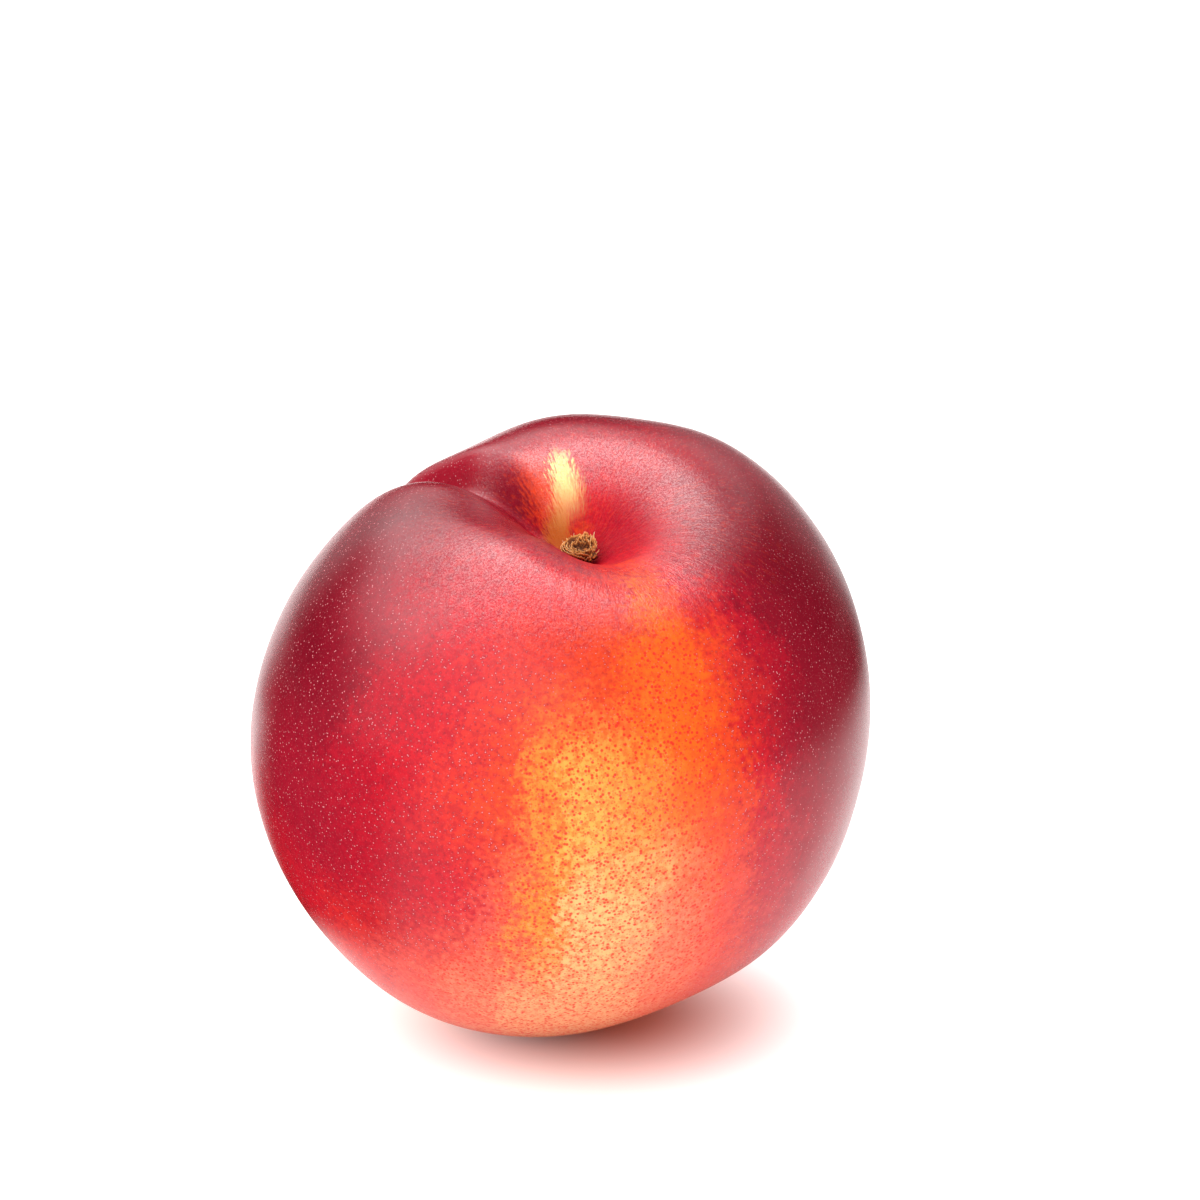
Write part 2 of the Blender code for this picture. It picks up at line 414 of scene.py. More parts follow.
def build_stalk_stub():
    """The dry stalk remnant: a torn cup inside curled layers, with loose fibres and small lumps."""
    shapes = [torn_cup()]
    shapes += [torn_layer(*layer) for layer in LAYERS]
    shapes += [loose_fibre(*fibre) for fibre in FIBRES]
    shapes += [dried_lump(*lump) for lump in LUMPS]
    points, faces, edges_and_shade = [], [], []
    for shape_points, shape_faces, shape_edges_and_shade in shapes:
        start = len(points)
        points += shape_points
        edges_and_shade += shape_edges_and_shade
        faces += [tuple(start + corner for corner in face) for face in shape_faces]

    crown = float(skin_radius(direction(0, 0)))
    lean = Matrix.Rotation(STUB_LEAN_TO, 4, "Z") @ Matrix.Rotation(STUB_LEAN, 4, "Y")
    pose = resting_pose() @ Matrix.Translation((0.0, 0.0, crown + STUB_LIFT)) @ lean
    data = bpy.data.meshes.new("stalk_stub")
    data.from_pydata([tuple(pose @ Vector(point)) for point in points], [], faces)
    along_stalk = data.attributes.new("stalk_frame", "FLOAT_VECTOR", "POINT")
    along_stalk.data.foreach_set("vector", np.array(points, dtype=np.float32).ravel())
    # Per point: pale torn edges, plus painted shade in folds and hollows and painted light on the tops of
    # the lumps
    torn_edge_and_shade = data.attributes.new("torn_edge_and_shade", "FLOAT", "POINT")
    torn_edge_and_shade.data.foreach_set("value", edges_and_shade)
    data.shade_smooth()
    stub = bpy.data.objects.new("stalk_stub_dry", data)
    bpy.context.scene.collection.objects.link(stub)
    return stub


# --- Nodes ---


def feed(tree, socket, value):
    """Link a socket to another one, or give it a plain value."""
    if isinstance(value, bpy.types.NodeSocket):
        tree.links.new(value, socket)
    else:
        socket.default_value = value


def place(tree, kind, inputs=None, **settings):
    """Add one node with its settings and inputs."""
    node = tree.nodes.new(kind)
    for name, value in settings.items():
        setattr(node, name, value)
    for name, value in (inputs or {}).items():
        feed(tree, node.inputs[name], value)
    return node


def calc(tree, operation, *values):
    """One Math node."""
    return place(tree, "ShaderNodeMath", dict(enumerate(values)), operation=operation).outputs[0]


def times(tree, product, *others):
    """Two or more values multiplied together."""
    for other in others:
        product = calc(tree, "MULTIPLY", product, other)
    return product


def plus(tree, total, *others):
    """Two or more values added together."""
    for other in others:
        total = calc(tree, "ADD", total, other)
    return total


def minus(tree, value, other):
    """One value less another."""
    return calc(tree, "SUBTRACT", value, other)


def blend(tree, amount, under, over):
    """One colour laid over another by amount."""
    node = place(tree, "ShaderNodeMix", {0: amount}, data_type="RGBA")
    feed(tree, node.inputs[6], under)
    feed(tree, node.inputs[7], over)
    return node.outputs[2]


def opaque(colour):
    """A colour with no see-through part."""
    return (*colour, 1.0)


def paint(tree, under, colour, *amounts):
    """A plain colour laid over another one, by the product of the amounts."""
    return blend(tree, times(tree, *amounts), under, opaque(colour))


def fade(tree, value, start, end, low=0.0, high=1.0):
    """Goes softly from low to high as value goes from start to end."""
    ends = {0: value, 1: start, 2: end, 3: low, 4: high}
    return place(tree, "ShaderNodeMapRange", ends, interpolation_type="SMOOTHSTEP").outputs[0]


def vector_calc(tree, operation, *values):
    """One Vector Math node."""
    return place(tree, "ShaderNodeVectorMath", dict(enumerate(values)), operation=operation).outputs[0]


def length(tree, vector):
    """How long a vector is."""
    return place(tree, "ShaderNodeVectorMath", {0: vector}, operation="LENGTH").outputs["Value"]


def towards(tree, vector, way):
    """How far a vector points one way: 1 is straight that way, and -1 is straight back."""
    both = {0: vector, 1: way}
    return place(tree, "ShaderNodeVectorMath", both, operation="DOT_PRODUCT").outputs["Value"]


def scaled(tree, vector, scale):
    """A vector made longer or shorter."""
    return place(tree, "ShaderNodeVectorMath", {0: vector, "Scale": scale}, operation="SCALE").outputs[0]


def mottle(tree, where, scale, detail=2.0, roughness=0.5):
    """Cloudy noise from 0 to 1."""
    node = place(tree, "ShaderNodeTexNoise",
                 {"Vector": where, "Scale": scale, "Detail": detail, "Roughness": roughness})
    return node.outputs["Fac"]


def wandered(tree, ray, where):
    """The stem-frame direction, pushed about at three sizes so that colours meet in ragged edges."""
    for scale, push in WANDER:
        cloud = place(tree, "ShaderNodeTexNoise", {"Vector": where, "Scale": scale, "Detail": 2.0})
        centred = vector_calc(tree, "SUBTRACT", cloud.outputs["Color"], (0.5, 0.5, 0.5))
        ray = vector_calc(tree, "ADD", ray, scaled(tree, centred, push))
    return vector_calc(tree, "NORMALIZE", ray)


def down_and_turn(tree, ray):
    """Degrees down from the stem and degrees round from the suture, from the seam upwards."""
    parts = place(tree, "ShaderNodeSeparateXYZ", {0: ray})
    down = calc(tree, "DEGREES", calc(tree, "ARCCOSINE", parts.outputs["Z"]))
    turn = calc(tree, "DEGREES", calc(tree, "ARCTAN2", parts.outputs["Y"], parts.outputs["X"]))
    return down, calc(tree, "WRAP", turn, RING_SEAM + 360.0, float(RING_SEAM))


def colour_ring(tree, turn, colours):
    """The colours met while going once round the fruit."""
    place_round = calc(tree, "DIVIDE", minus(tree, turn, float(RING_SEAM)), 360.0)
    ramp = place(tree, "ShaderNodeValToRGB", {0: place_round})
    stops = ramp.color_ramp
    stops.interpolation = "EASE"
    first = colours[0][1]
    stops.elements[0].color = opaque(first)
    stops.elements[1].color = opaque(first)
    for at, colour in colours[1:]:
        stop = stops.elements.new((at - RING_SEAM) / 360.0)
        stop.color = opaque(colour)
    return ramp.outputs["Color"]


def ground_colour(tree, down, turn):
    """The large fields of colour, blended from ring to ring down the fruit."""
    above, colours = COLOUR_RINGS[0]
    colour = colour_ring(tree, turn, colours)
    for below, colours in COLOUR_RINGS[1:]:
        amount = fade(tree, down, float(above), float(below))
        colour = blend(tree, amount, colour, colour_ring(tree, turn, colours))
        above = below
    return colour


def patch(tree, at, middle, half_size, softness):
    """1 inside an oval patch and 0 outside. All but the softness are (down, turn) in degrees."""
    drop, side = (
        calc(tree, "DIVIDE", minus(tree, here, float(centre)), float(half))
        for here, centre, half in zip(at, middle, half_size)
    )
    out = calc(tree, "SQRT", plus(tree, times(tree, drop, drop), times(tree, side, side)))
    return fade(tree, out, 1.0 + softness, 1.0 - softness)


def straw_streak(tree, at):
    """The pale streak up the far wall of the cavity: wide low down and pointed at its top."""
    down, turn = at
    half_width = calc(tree, "MAXIMUM", times(tree, minus(tree, STRAW_TOP, down), STRAW_TAPER), 0.1)
    side = calc(tree, "ABSOLUTE", minus(tree, turn, STRAW_TURN))
    within = fade(tree, calc(tree, "DIVIDE", side, half_width), 1.5, 0.1)
    return times(tree, within, fade(tree, down, *STRAW_FOOT_FADE), fade(tree, down, *STRAW_TOP_FADE))


def spots(tree, where, cell, radius, edge):
    """Round spots scattered over the skin, about one to a cell. Radius and edge are shares of a cell."""
    cells = place(tree, "ShaderNodeTexVoronoi", {"Vector": where, "Scale": 1.0 / cell})
    return fade(tree, cells.outputs["Distance"], radius + edge, radius - edge)


def cavity_streaks(tree, ray, down):
    """Streaks that run down from the stem, and how much of them shows."""
    level = place(tree, "ShaderNodeSeparateXYZ", {0: ray})
    flat = place(tree, "ShaderNodeCombineXYZ", {0: level.outputs["X"], 1: level.outputs["Y"]})
    rim = vector_calc(tree, "NORMALIZE", flat.outputs[0])
    along = place(tree, "ShaderNodeCombineXYZ", {2: times(tree, down, STREAK_CHANGE)})
    streaks = mottle(tree, vector_calc(tree, "ADD", rim, along.outputs[0]), STREAK_FINENESS, 2.0, 0.6)
    return streaks, fade(tree, down, *STREAK_FADE)


def paint_cavity(tree, colour, at, true_at, streaks, in_cavity):
    """The streaks and patches of the stem cavity. Also says where the straw-coloured streak is."""
    dark, light = fade(tree, streaks, *DARK_STREAK_EDGE), fade(tree, streaks, *LIGHT_STREAK_EDGE)
    colour = paint(tree, colour, CRIMSON, dark, in_cavity, DARK_STREAKS)
    colour = paint(tree, colour, VERMILION, light, in_cavity, LIGHT_STREAKS)

    true_down, true_turn = true_at
    aside = times(tree, minus(tree, streaks, 0.5), FRAY)
    frayed_at = (plus(tree, true_down, times(tree, aside, FRAY_DOWN)), plus(tree, true_turn, aside))
    colour = paint(tree, colour, VERMILION, patch(tree, at, *NEAR_LINE))
    colour = paint(tree, colour, VERMILION, patch(tree, frayed_at, *FAR_WALL))
    colour = paint(tree, colour, OCHRE, patch(tree, frayed_at, *FAR_WALL_FOOT))
    straw = straw_streak(tree, frayed_at)
    return paint(tree, colour, STRAW, straw), straw


def paint_flecks(tree, colour, where, in_gold, redness):
    """Fine mottling: redder flecks in the gold, darker flecks in the red."""
    flecks = fade(tree, mottle(tree, where, FLECK_FINENESS, 3.0, 0.65), *FLECK_EDGE)
    colour = paint(tree, colour, VERMILION, flecks, in_gold, FLECKS_IN_GOLD)
    return paint(tree, colour, CRIMSON, flecks, redness, FLECKS_IN_RED)


def paint_specks(tree, colour, where, true_at, goldness, in_gold, redness):
    """Red specks on the gold, and pale ones with dark halos on the red. Also says where those are."""
    down, turn = true_at
    large = times(tree, spots(tree, where, *LARGE_RED_SPECKS), LARGE_RED_STRENGTH)
    small = times(tree, spots(tree, where, *SMALL_RED_SPECKS), SMALL_RED_STRENGTH)
    colour = paint(tree, colour, SPECK_RED, calc(tree, "MAXIMUM", large, small), in_gold)

    off_cavity = fade(tree, down, *SPECKS_BEGIN)
    on_red = times(tree, redness, off_cavity)
    colour = paint(tree, colour, SPECK_HALO, spots(tree, where, *SPECK_HALOS), on_red, HALO_STRENGTH)
    colour = paint(tree, colour, SPECK_PALE, spots(tree, where, *TINY_SPECKS), on_red, TINY_STRENGTH)
    pale = spots(tree, where, *PALE_SPECKS)
    strength = fade(tree, goldness, 0.0, 1.0, PALE_ON_RED, PALE_ON_GOLD)
    on_dim_side = times(tree, fade(tree, turn, *DIM_SIDE_STARTS), fade(tree, turn, *DIM_SIDE_ENDS))
    undimmed = minus(tree, 1.0, times(tree, on_dim_side, DIMMING))
    return paint(tree, colour, SPECK_PALE, pale, off_cavity, strength, undimmed), pale


def gloss_skin(tree, shader, where, true_at, streaks, in_cavity, pale):
    """Waxy gloss, finely grained all over and nearly matt deep in the cavity."""
    down = true_at[0]
    grain = mottle(tree, where, GRAIN_FINENESS, 2.0, 0.6)
    deep = calc(tree, "MAXIMUM", fade(tree, down, *MATT_DEPTH), patch(tree, true_at, *MATT_HOLLOW))
    roughness = plus(tree, times(tree, grain, GRAIN_ROUGHNESS), ROUGHNESS)
    feed(tree, shader.inputs["Roughness"], plus(tree, roughness, times(tree, deep, DEEP_ROUGHNESS)))

    shine = fade(tree, down, *SHINE_FADE, SHOULDER_SHINE, CHEEK_SHINE)
    shine = minus(tree, shine, times(tree, deep, DEEP_SHINE_LOST))
    sparkle = fade(tree, grain, *SPARKLE_EDGE, -SPARKLE, SPARKLE)
    sparkle = times(tree, sparkle, fade(tree, down, *SPARKLE_FADE))
    feed(tree, shader.inputs["Specular IOR Level"], times(tree, shine, plus(tree, sparkle, 1.0)))
    shader.inputs["IOR"].default_value = SKIN_IOR

    grain_height = fade(tree, down, *GRAIN_FADE, CHEEK_GRAIN_HEIGHT, CAVITY_GRAIN_HEIGHT)
    height = plus(
        tree,
        times(tree, grain, grain_height),
        times(tree, pale, SPECK_HEIGHT),
        times(tree, streaks, in_cavity, STREAK_HEIGHT),
    )
    bump = place(tree, "ShaderNodeBump", {"Height": height, "Distance": MILLIMETRE, "Strength": 1.0})
    feed(tree, shader.inputs["Normal"], bump.outputs[0])


def skin_material():
    """The skin: fields of red and gold, streaks in the cavity, fine specks, and a soft waxy gloss."""
    material = bpy.data.materials.new("nectarine_skin")
    material.use_nodes = True
    tree = material.node_tree
    shader = tree.nodes["Principled BSDF"]
    where = place(tree, "ShaderNodeTexCoord").outputs["Object"]
    ray = place(tree, "ShaderNodeAttribute", attribute_name="stem_frame").outputs["Vector"]
    true_at = down_and_turn(tree, ray)
    at = down_and_turn(tree, wandered(tree, ray, where))
    down = true_at[0]

    colour = ground_colour(tree, *at)
    streaks, in_cavity = cavity_streaks(tree, ray, down)
    colour, straw = paint_cavity(tree, colour, at, true_at, streaks, in_cavity)
    green = place(tree, "ShaderNodeSeparateColor", {0: colour}).outputs["Green"]
    goldness = fade(tree, green, *GOLD_FROM_GREEN)
    redness = minus(tree, 1.0, goldness)
    in_gold = times(tree, goldness, minus(tree, 1.0, straw), fade(tree, down, *FLECKS_BEGIN))
    colour = paint_flecks(tree, colour, where, in_gold, redness)
    colour, pale = paint_specks(tree, colour, where, true_at, goldness, in_gold, redness)
    colour = paint(tree, colour, CORK, fade(tree, down, *BLOSSOM_SCAR))
    feed(tree, shader.inputs["Base Color"], colour)
    gloss_skin(tree, shader, where, true_at, streaks, in_cavity, pale)
    return material


def stalk_material():
    """Dry torn stalk: tan along its fibres and pale at its torn edges, with painted shade that makes it
    dark brown in its folds, inside its cup and low down, and painted light on the tops of its lumps.
    """
    material = bpy.data.materials.new("dry_stalk")
    material.use_nodes = True
    tree = material.node_tree
    shader = tree.nodes["Principled BSDF"]
    where = place(tree, "ShaderNodeAttribute", attribute_name="stalk_frame").outputs["Vector"]
    # Torn edges together with the painted shade and painted light carried on the mesh
    edge = place(tree, "ShaderNodeAttribute", attribute_name="torn_edge_and_shade").outputs["Fac"]
    drawn_out = vector_calc(tree, "MULTIPLY", where, (1.0, 1.0, FIBRE_STRETCH))
    fibres = mottle(tree, drawn_out, FIBRE_FINENESS, 3.0, 0.6)
    blotches = mottle(tree, where, BLOTCH_FINENESS, 2.0, 0.5)
    wear_and_shade = plus(
        tree,
        times(tree, edge, WEAR_AND_SHADE_FROM_EDGE),
        times(tree, fibres, WEAR_FROM_FIBRES),
        times(tree, minus(tree, blotches, 0.5), WEAR_FROM_BLOTCHES),
    )
    ramp = place(tree, "ShaderNodeValToRGB", {0: wear_and_shade})
    stops = ramp.color_ramp.elements
    for stop, (at, colour) in zip(stops, (STALK_COLOURS[0], STALK_COLOURS[-1])):
        stop.position = at
        stop.color = opaque(colour)
    for at, colour in STALK_COLOURS[1:-1]:
        stops.new(at).color = opaque(colour)
    feed(tree, shader.inputs["Base Color"], ramp.outputs["Color"])
    shader.inputs["Roughness"].default_value = 0.75
    shader.inputs["Specular IOR Level"].default_value = 0.15
    bump = place(tree, "ShaderNodeBump", {"Height": fibres, "Distance": FIBRE_DEPTH, "Strength": 1.0})
    feed(tree, shader.inputs["Normal"], bump.outputs[0])
    return material


def soft_lamp(tree, sky, way, full, faint, strength):
    """Light from one side of the sky: full up to one angle, and fading out by another."""
    starts, is_full = math.cos(math.radians(faint)), math.cos(math.radians(full))
    return fade(tree, towards(tree, sky, way), starts, is_full, 0.0, strength)


def compass(azimuth, height):
    """Unit vector: azimuth from the front of the table, positive to the right, and height above it."""
    azimuth, height = math.radians(azimuth), math.radians(height)
    return (math.sin(azimuth) * math.cos(height), -math.cos(azimuth) * math.cos(height), math.sin(height))


# Colours of the skin
DEEP_CRIMSON = (0.150, 0.001, 0.009)
CRIMSON = (0.220, 0.002, 0.013)
DARK_RED = (0.310, 0.003, 0.017)
CLEAR_RED = (0.420, 0.003, 0.016)
BRIGHT_RED = (0.540, 0.005, 0.016)
SCARLET = (0.630, 0.022, 0.016)
VERMILION = (0.710, 0.048, 0.010)
ORANGE = (0.770, 0.115, 0.006)
AMBER = (0.790, 0.230, 0.025)
GOLD = (0.810, 0.375, 0.062)
PALE_GOLD = (0.810, 0.460, 0.170)
PEACH = (0.800, 0.360, 0.155)
APRICOT = (0.770, 0.190, 0.095)
CORAL = (0.680, 0.072, 0.050)
ROSE = (0.470, 0.020, 0.033)
STRAW = (0.880, 0.600, 0.200)
OCHRE = (0.560, 0.130, 0.020)
CORK = (0.200, 0.090, 0.040)
SPECK_RED = (0.670, 0.018, 0.012)
SPECK_PALE = (0.760, 0.250, 0.270)
SPECK_HALO = (0.160, 0.002, 0.012)

# Streaks that run down the stem cavity
STREAK_FINENESS = 60.0
STREAK_CHANGE = 0.010       # how much their pattern changes on the way down
STREAK_FADE = (46.0, 16.0)  # degrees down where they begin to show, and where they show in full
DARK_STREAKS = 0.45
DARK_STREAK_EDGE = (0.50, 0.70)
LIGHT_STREAKS = 0.35
LIGHT_STREAK_EDGE = (0.48, 0.32)
FRAY = 26.0                 # degrees round that they pull the edges of the patches out
FRAY_DOWN = 0.12            # share of that by which they pull the edges down

# Patches in the cavity: middle and half size as (down, turn) in degrees, and softness
NEAR_LINE = ((17, 162), (13, 3), 0.8)
FAR_WALL = ((16, -19), (9, 10), 0.7)
FAR_WALL_FOOT = ((11, -16), (4, 14), 0.5)
MATT_HOLLOW = ((22, -5), (9, 11), 0.5)

# The straw-coloured streak, in degrees round and down: where it lies, where its point is, how fast
# it narrows to there, and where it fades in above its foot and out below its point
STRAW_TURN = -34.0
STRAW_TOP = 29.0
STRAW_TAPER = 0.90
STRAW_FOOT_FADE = (9.0, 19.0)
STRAW_TOP_FADE = (28.0, 22.0)

# Flecks, and how the gold fields are told from the red ones
GOLD_FROM_GREEN = (0.025, 0.110)    # green in the colour that is all red, and all gold
FLECK_FINENESS = 1500.0
FLECK_EDGE = (0.43, 0.62)
FLECKS_IN_GOLD = 0.48
FLECKS_IN_RED = 0.28
FLECKS_BEGIN = (16.0, 26.0)         # degrees down

# Specks: the cell that holds one, in metres, then its radius and its soft edge as shares of the cell
LARGE_RED_SPECKS = (0.00054, 0.30, 0.09)
LARGE_RED_STRENGTH = 0.85
SMALL_RED_SPECKS = (0.00037, 0.26, 0.12)
SMALL_RED_STRENGTH = 0.60
PALE_SPECKS = (0.00047, 0.155, 0.05)
PALE_ON_RED = 0.80
PALE_ON_GOLD = 0.25
SPECK_HALOS = (0.00047, 0.30, 0.08)
HALO_STRENGTH = 0.40
TINY_SPECKS = (0.00034, 0.22, 0.08)
TINY_STRENGTH = 0.08
SPECKS_BEGIN = (20.0, 46.0)         # degrees down
DIM_SIDE_STARTS = (178.0, 200.0)    # degrees round, on the side where the pale specks are dimmer
DIM_SIDE_ENDS = (290.0, 250.0)
DIMMING = 0.4
BLOSSOM_SCAR = (176.6, 178.2)       # degrees down where the corky scar begins and is full

# Gloss. Fades are in degrees down from the stem, and heights in millimetres
GRAIN_FINENESS = 5200.0
ROUGHNESS = 0.12
GRAIN_ROUGHNESS = 0.22
DEEP_ROUGHNESS = 0.25
MATT_DEPTH = (19.0, 11.0)
SHOULDER_SHINE = 0.52
CHEEK_SHINE = 0.27
SHINE_FADE = (36.0, 58.0)
DEEP_SHINE_LOST = 0.40
SPARKLE = 0.50                      # how much the grain breaks up the shine near the cavity
SPARKLE_EDGE = (0.38, 0.64)
SPARKLE_FADE = (50.0, 30.0)
SKIN_IOR = 1.45
CHEEK_GRAIN_HEIGHT = 0.018
CAVITY_GRAIN_HEIGHT = 0.030
GRAIN_FADE = (48.0, 28.0)
SPECK_HEIGHT = 0.006
STREAK_HEIGHT = 0.040

# Fibres of the stalk, and how worn it looks from its torn edges, its fibres and its blotches; the
# torn-edge value also carries painted shade in the folds and painted light on the tops of the lumps
FIBRE_FINENESS = 9000.0
FIBRE_STRETCH = 0.22        # how finely they change along the stalk, as a share of that
FIBRE_DEPTH = 0.00012
BLOTCH_FINENESS = 2200.0
WEAR_AND_SHADE_FROM_EDGE = 0.62
WEAR_FROM_FIBRES = 0.42
WEAR_FROM_BLOTCHES = 0.35

# Colours of the stalk, from the painted shade at the bottoms of its folds to its torn edges
STALK_COLOURS = (
    (0.10, (0.030, 0.008, 0.005)),
    (0.30, (0.130, 0.036, 0.014)),
    (0.46, (0.480, 0.140, 0.035)),
    (0.64, (0.920, 0.380, 0.100)),
    (0.84, (0.980, 0.660, 0.320)),
    (1.00, (0.980, 0.900, 0.760)),
)

# The colour round the fruit at several heights: degrees down from the stem, then the colours met
# while going round, each with its place in degrees round from the suture
COLOUR_RINGS = (
    (6, (
        (-60, SCARLET), (-44, VERMILION), (-20, VERMILION), (0, SCARLET), (60, CLEAR_RED),
        (150, CLEAR_RED), (190, CLEAR_RED), (240, CLEAR_RED), (285, BRIGHT_RED),
    )),
    (14, (
        (-60, BRIGHT_RED), (-20, BRIGHT_RED), (-6, CLEAR_RED), (10, DARK_RED), (60, CRIMSON),
        (110, DARK_RED), (150, SCARLET), (170, SCARLET), (190, BRIGHT_RED), (225, CLEAR_RED),
        (270, CLEAR_RED),
    )),
    (24, (
        (-60, CLEAR_RED), (-25, CLEAR_RED), (-12, CRIMSON), (10, CRIMSON), (45, CRIMSON),
        (66, DARK_RED), (90, CLEAR_RED), (112, BRIGHT_RED), (143, SCARLET), (151, ORANGE),
        (159, VERMILION), (170, BRIGHT_RED), (186, DARK_RED), (206, CRIMSON), (240, CRIMSON),
        (280, CLEAR_RED),
    )),
    (38, (
        (-60, CRIMSON), (0, DARK_RED), (40, DEEP_CRIMSON), (56, CRIMSON), (70, DARK_RED),
        (84, CLEAR_RED), (97, BRIGHT_RED), (110, SCARLET), (136, VERMILION), (149, ORANGE),
        (160, ORANGE), (168, VERMILION), (175, SCARLET), (184, CLEAR_RED), (193, CRIMSON),
        (212, DEEP_CRIMSON), (236, DEEP_CRIMSON), (260, CRIMSON),
    )),
    (60, (
        (-60, CRIMSON), (0, DARK_RED), (44, DEEP_CRIMSON), (60, DEEP_CRIMSON), (76, CRIMSON),
        (88, CLEAR_RED), (99, BRIGHT_RED), (109, SCARLET), (117, VERMILION), (126, AMBER), (134, GOLD),
        (146, AMBER), (157, ORANGE), (165, VERMILION), (171, BRIGHT_RED), (177, DARK_RED),
        (188, CRIMSON), (230, DEEP_CRIMSON), (270, CRIMSON),
    )),
    (84, (
        (-60, CRIMSON), (0, DARK_RED), (50, CRIMSON), (82, DARK_RED), (102, CLEAR_RED),
        (114, BRIGHT_RED), (122, CORAL), (129, AMBER), (136, PALE_GOLD), (142, PALE_GOLD),
        (153, APRICOT), (163, CORAL), (172, ROSE), (182, DARK_RED), (205, CRIMSON), (260, DARK_RED),
    )),
    (110, (
        (-60, DARK_RED), (10, CLEAR_RED), (56, BRIGHT_RED), (84, BRIGHT_RED), (98, SCARLET),
        (108, CORAL), (120, APRICOT), (130, PEACH), (142, PEACH), (153, APRICOT), (166, CORAL),
        (180, ROSE), (205, DARK_RED), (250, DARK_RED),
    )),
    (130, (
        (-60, ROSE), (20, SCARLET), (60, CORAL), (100, CORAL), (118, APRICOT), (142, PEACH),
        (158, APRICOT), (180, CORAL), (215, ROSE),
    )),
    (150, (
        (-60, ROSE), (20, CORAL), (60, APRICOT), (110, PEACH), (150, PEACH), (185, CORAL), (230, ROSE),
    )),
)
RING_SEAM = -60     # where the rings start, out of sight at the back
WANDER = ((110.0, 0.18), (420.0, 0.16), (1500.0, 0.20))   # (how fine, how far) the colours wander

# Soft lights round the table: azimuth, height, angle that is fully lit, angle where it ends, strength
LAMPS = (
    (0, 90, 20, 34, 4.4),       # overhead
    (165, 80, 8, 17, 3.5),      # brightest part of it, a little behind
    (-156, 46, 12, 26, 2.2),    # behind, to the left
    (-152, 16, 8, 20, 0.55),    # lower, behind to the left
    (-172, 66, 6, 14, 2.4),     # behind, high up
    (157, 42, 7, 16, 1.4),      # behind, to the right
    (158, 12, 10, 24, 0.4),     # low behind, to the right
    (-100, 55, 14, 36, 2.9),    # high on the left
    (-43, 25, 33, 51, 1.9),     # wide screen at the front left
)
SKY_GLOW = 0.01             # what the gloss shows of the sky between the lamps
FILL_SHARE = 0.22           # the lamps' share in the soft light, the rest of which is even
FILL_LIGHT = 1.16
FILL_LEAN = 0.14            # how much stronger the even light is from the left
WHITE = (1.0, 1.0, 1.0)

FLOOR_HALF = 3.0
FLOOR_WHITE = (0.94, 0.90, 0.89)
FLOOR_GLOW = 0.65           # painted light of the floor's own, away from the fruit, fading out in the painted shadow under it
FLOOR_GLOW_CAST = 0.30      # share of that light that falls on the fruit
PAINTED_SHADOW_UNDER_FRUIT = (0.74, 0.33, 0.24)            # painted warm shadow on the floor, right under the fruit
PAINTED_SHADOW_MIDDLE = (0.005, -0.001, 0.0)
PAINTED_SHADOW_REACH = (0.004, 0.030)          # metres out where the painted shadow begins to fade, and where it ends

# Black cards on the floor: the side they lie to, half of the angle they take up and how softly they
# end at the sides, in degrees, then where they start and where they are full, in metres
CARD_HALF = 2.0
CARD_LIFT = 0.001
CARD_BLACK = (0.01, 0.01, 0.01)
CARDS = (
    (-92, 41, 10, 0.027, 0.042),
    (-130, 14, 14, 0.110, 0.240),
    (100, 55, 15, 0.110, 0.260),
)

LENS_LENGTH = 100.0         # in millimetres
CAMERA_AT = Vector((0.0001, -0.3578, 0.1509))
CAMERA_AIM = Vector((0.0046, 0.0041, 0.0480))


def flat_square(name, half):
    """A level square on the table, for the studio."""
    corners = [(-half, -half, 0), (half, -half, 0), (half, half, 0), (-half, half, 0)]
    data = bpy.data.meshes.new(name)
    data.from_pydata(corners, [], [(0, 1, 2, 3)])
    square = bpy.data.objects.new(name, data)
    bpy.context.scene.collection.objects.link(square)
    material = bpy.data.materials.new(name)
    material.use_nodes = True
    data.materials.append(material)
    return square, material.node_tree


def light_studio():
    """Soft lamps in the sky, which the gloss shows in full, and a more even light for the rest."""
    world = bpy.data.worlds.new("white_studio")
    bpy.context.scene.world = world
    world.use_nodes = True
    tree = world.node_tree
    tree.nodes.clear()
    sky = place(tree, "ShaderNodeTexCoord").outputs["Generated"]
    total = SKY_GLOW
    for azimuth, height, full, faint, strength in LAMPS:
        lamp = soft_lamp(tree, sky, compass(azimuth, height), full, faint, strength)
        total = plus(tree, total, lamp)
    path = place(tree, "ShaderNodeLightPath")
    fill = plus(tree, times(tree, towards(tree, sky, compass(-90, 0)), FILL_LEAN), FILL_LIGHT)
    even = plus(tree, times(tree, total, FILL_SHARE), fill)
    in_gloss = path.outputs["Is Glossy Ray"]
    off_gloss = minus(tree, 1.0, in_gloss)
    strength = plus(tree, times(tree, in_gloss, total), times(tree, off_gloss, even))
    lamps = place(tree, "ShaderNodeBackground", {"Color": opaque(WHITE), "Strength": strength})
    backdrop = place(tree, "ShaderNodeBackground", {"Color": opaque(WHITE), "Strength": 1.0})
    seen = path.outputs["Is Camera Ray"]
    shown = place(tree, "ShaderNodeMixShader", {0: seen, 1: lamps.outputs[0], 2: backdrop.outputs[0]})
    place(tree, "ShaderNodeOutputWorld", {"Surface": shown.outputs[0]})


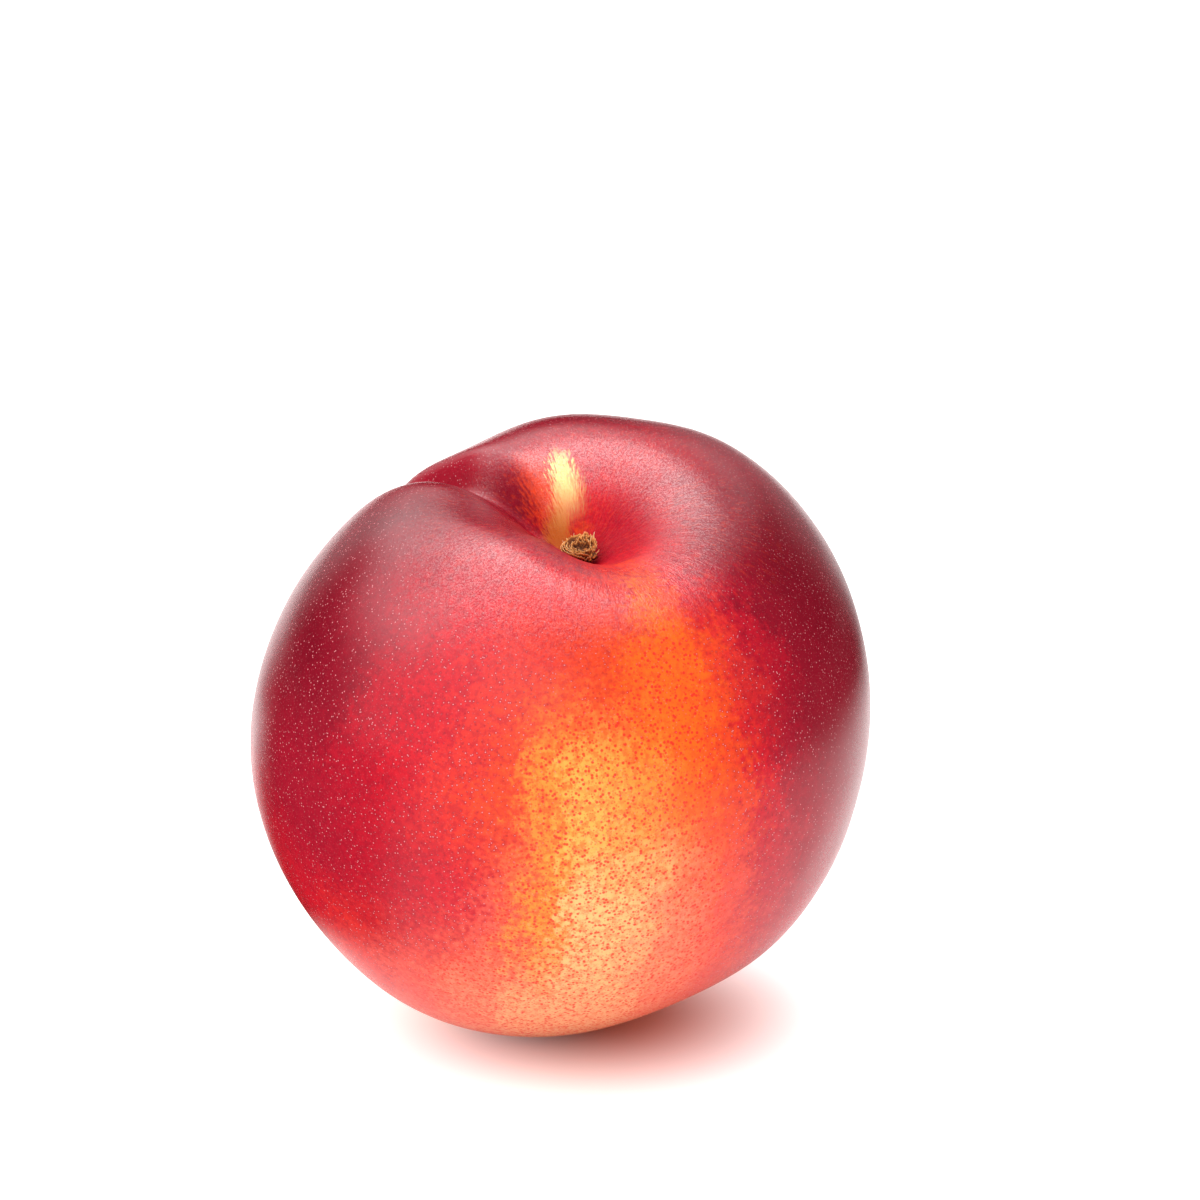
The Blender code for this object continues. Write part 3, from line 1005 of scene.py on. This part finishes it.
def lay_floor():
    """A white floor that glows a little away from the fruit, as painted light, and has a warm painted
    shadow under the fruit, where its colour darkens and its glow fades out.
    """
    floor, tree = flat_square("white_floor", FLOOR_HALF)
    shader = tree.nodes["Principled BSDF"]
    where = place(tree, "ShaderNodeTexCoord").outputs["Object"]
    # Painted shadow: near the fruit the floor turns warm and dark and loses its glow
    out = length(tree, vector_calc(tree, "SUBTRACT", where, PAINTED_SHADOW_MIDDLE))
    outside_painted_shadow = fade(tree, out, *PAINTED_SHADOW_REACH)
    colour = blend(tree, outside_painted_shadow, opaque(PAINTED_SHADOW_UNDER_FRUIT), opaque(FLOOR_WHITE))
    feed(tree, shader.inputs["Base Color"], colour)
    seen = place(tree, "ShaderNodeLightPath").outputs["Is Camera Ray"]
    share = calc(tree, "MAXIMUM", seen, FLOOR_GLOW_CAST)
    feed(tree, shader.inputs["Emission Strength"], times(tree, outside_painted_shadow, FLOOR_GLOW, share))
    shader.inputs["Emission Color"].default_value = opaque(FLOOR_WHITE)
    shader.inputs["Roughness"].default_value = 0.9
    shader.inputs["Specular IOR Level"].default_value = 0.0


def lay_black_cards():
    """Soft-edged black cards on the floor, which only show in the gloss of the skin."""
    cards, tree = flat_square("black_cards", CARD_HALF)
    cards.location.z = CARD_LIFT
    cards.visible_camera = False
    cards.visible_diffuse = False
    cards.visible_shadow = False

    tree.nodes.clear()
    where = place(tree, "ShaderNodeTexCoord").outputs["Object"]
    out = length(tree, where)
    level = vector_calc(tree, "NORMALIZE", where)
    covered = 0.0
    for side, half_angle, softness, starts, full in CARDS:
        toward = towards(tree, level, compass(side, 0))
        off_middle = calc(tree, "DEGREES", calc(tree, "ARCCOSINE", toward))
        wedge = fade(tree, off_middle, float(half_angle + softness), float(half_angle - softness))
        card = times(tree, wedge, fade(tree, out, starts, full))
        covered = calc(tree, "MAXIMUM", covered, card)
    black = place(tree, "ShaderNodeBsdfDiffuse", {"Color": opaque(CARD_BLACK)})
    clear = place(tree, "ShaderNodeBsdfTransparent")
    both = place(tree, "ShaderNodeMixShader", {0: covered, 1: clear.outputs[0], 2: black.outputs[0]})
    place(tree, "ShaderNodeOutputMaterial", {"Surface": both.outputs[0]})


def set_camera():
    """A long lens a little above the fruit, in front of the table."""
    lens = bpy.data.cameras.new("camera")
    lens.lens = LENS_LENGTH
    lens.sensor_width = 36.0
    lens.clip_start = 0.01
    camera = bpy.data.objects.new("camera", lens)
    bpy.context.scene.collection.objects.link(camera)
    camera.location = CAMERA_AT
    camera.rotation_euler = (CAMERA_AIM - CAMERA_AT).to_track_quat("-Z", "Y").to_euler()
    bpy.context.scene.camera = camera


skin = build_skin()
skin.data.materials.append(skin_material())
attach(skin, "root")
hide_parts("fruit")
stub = build_stalk_stub()
stub.data.materials.append(stalk_material())
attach(stub, "root")
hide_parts("stalk_stub")
light_studio()
lay_floor()
lay_black_cards()
set_camera()
bpy.context.scene.view_settings.view_transform = "Standard"
